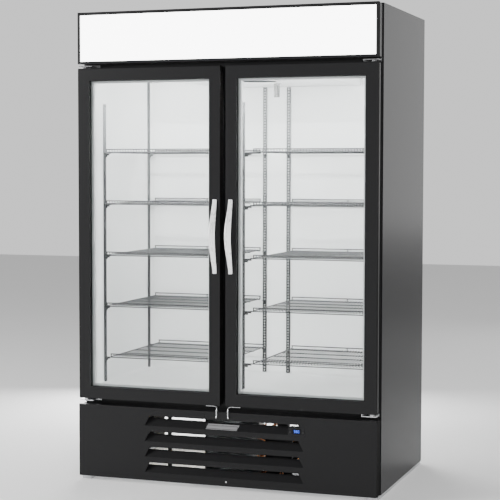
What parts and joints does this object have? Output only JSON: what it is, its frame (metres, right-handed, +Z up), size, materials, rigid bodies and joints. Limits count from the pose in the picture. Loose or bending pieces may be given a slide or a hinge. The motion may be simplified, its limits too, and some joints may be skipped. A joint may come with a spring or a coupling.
{
  "type": "glass door merchandiser",
  "caption": "Upright glass door display refrigerator with hinged doors, wire shelves, lit canopy sign and a louvred base over its cooling unit.",
  "frame": {"origin": "middle of the footprint on the floor, under the bottom of the base rails", "axes": "+X to the right seen from the front, +Y towards the back of the cabinet, +Z up; the doors face -Y"},
  "size_m": [1.321, 0.883, 2.012],
  "materials": {
    "black_paint": "satin black powder coat, fine orange peel",
    "side_paint": "satin black powder coat on the flat side sheets",
    "galvanised": "galvanised sheet, faint spangle",
    "foam": "foamed-in-place rigid insulation",
    "white_liner": "white stucco-smooth coated liner",
    "fin_metal": "thin aluminium fins on copper tube",
    "black_plastic": "moulded plastic, light texture",
    "compressor_paint": "gloss black enamel",
    "bright_steel": "brushed stainless steel",
    "pilaster_zinc": "zinc plated slotted strip",
    "shelf_wire": "grey epoxy-coated wire",
    "door_glass": "clear insulated glass unit",
    "gasket": "extruded magnetic gasket",
    "sign_acrylic": "white translucent lit panel",
    "copper_pipe": "drawn copper tube",
    "lamp": "light-emitting strip under a diffuser"
  },
  "bodies": {
    "cabinet": {"badge_plate": "bright_steel", "base_frame": "galvanised", "canopy_housing": "black_paint", "ceiling_insulation": "foam", "centre_mullion": "white_liner", "compressor": "compressor_paint", "condenser_coil": "fin_metal", "condenser_fan_motor": "galvanised", "evaporator_coil": "fin_metal", "evaporator_cover": "white_liner", "evaporator_fan_motor": "galvanised", "face_frame": "black_paint", "floor_insulation": "foam", "front_grille": "black_paint", "interior_liner": "white_liner", "left_back_pilaster": "pilaster_zinc", "left_bottom_hinge": "bright_steel", "left_front_pilaster": "pilaster_zinc", "left_mullion_pilaster": "pilaster_zinc", "left_rear_pilaster": "pilaster_zinc", "left_shelf_1": "shelf_wire", "left_shelf_2": "shelf_wire", "left_shelf_3": "shelf_wire", "left_shelf_4": "shelf_wire", "left_shelf_5": "shelf_wire", "left_side_panel": "side_paint", "left_top_hinge": "bright_steel", "rear_panel": "galvanised", "right_back_pilaster": "pilaster_zinc", "right_bottom_hinge": "bright_steel", "right_front_pilaster": "pilaster_zinc", "right_mullion_pilaster": "pilaster_zinc", "right_rear_pilaster": "pilaster_zinc", "right_shelf_1": "shelf_wire", "right_shelf_2": "shelf_wire", "right_shelf_3": "shelf_wire", "right_shelf_4": "shelf_wire", "right_shelf_5": "shelf_wire", "right_side_panel": "side_paint", "right_top_hinge": "bright_steel", "roof_panel": "galvanised", "sign_lamp": "lamp", "sign_panel": "sign_acrylic", "temperature_controller": "black_plastic", "temperature_probe": "galvanised", "wall_insulation": "foam"},
    "left_door": {"left_door_closing_rod": "bright_steel", "left_door_frame": "black_paint", "left_door_gasket": "gasket", "left_door_glass": "door_glass", "left_door_handle": "bright_steel"},
    "right_door": {"right_door_closing_rod": "bright_steel", "right_door_frame": "black_paint", "right_door_gasket": "gasket", "right_door_glass": "door_glass", "right_door_handle": "bright_steel"},
    "evaporator_fan_wheel": {"evaporator_fan": "black_plastic"},
    "condenser_fan_wheel": {"condenser_fan": "black_plastic"},
    "first_button": {"controller_button_1": "bright_steel"},
    "second_button": {"controller_button_2": "bright_steel"}
  },
  "joints": [
    {"name": "left_door_hinge", "type": "hinge", "parent": "cabinet", "child": "left_door", "pos_m": [-0.634, -0.3775, 1.065], "axis": [0, 0, -1], "range_deg": [0, 110], "stiffness_Nm_per_rad": 3, "springref_deg": -28.65},
    {"name": "right_door_hinge", "type": "hinge", "parent": "cabinet", "child": "right_door", "pos_m": [0.634, -0.3775, 1.065], "axis": [0, 0, 1], "range_deg": [0, 110], "stiffness_Nm_per_rad": 3, "springref_deg": -28.65},
    {"name": "evaporator_fan_spin", "type": "hinge", "parent": "cabinet", "child": "evaporator_fan_wheel", "pos_m": [0.0625, -0.1315, 1.738], "axis": [0, 0, 1], "continuous": true},
    {"name": "condenser_fan_spin", "type": "hinge", "parent": "cabinet", "child": "condenser_fan_wheel", "pos_m": [0.01, -0.2305, 0.16], "axis": [0, 1, 0], "continuous": true},
    {"name": "first_button_press", "type": "slide", "parent": "cabinet", "child": "first_button", "axis": [0, 1, 0], "range_m": [0, 0.001], "stiffness_N_per_m": 300, "springref_m": -0.0005},
    {"name": "second_button_press", "type": "slide", "parent": "cabinet", "child": "second_button", "axis": [0, 1, 0], "range_m": [0, 0.001], "stiffness_N_per_m": 300, "springref_m": -0.0005}
  ]
}
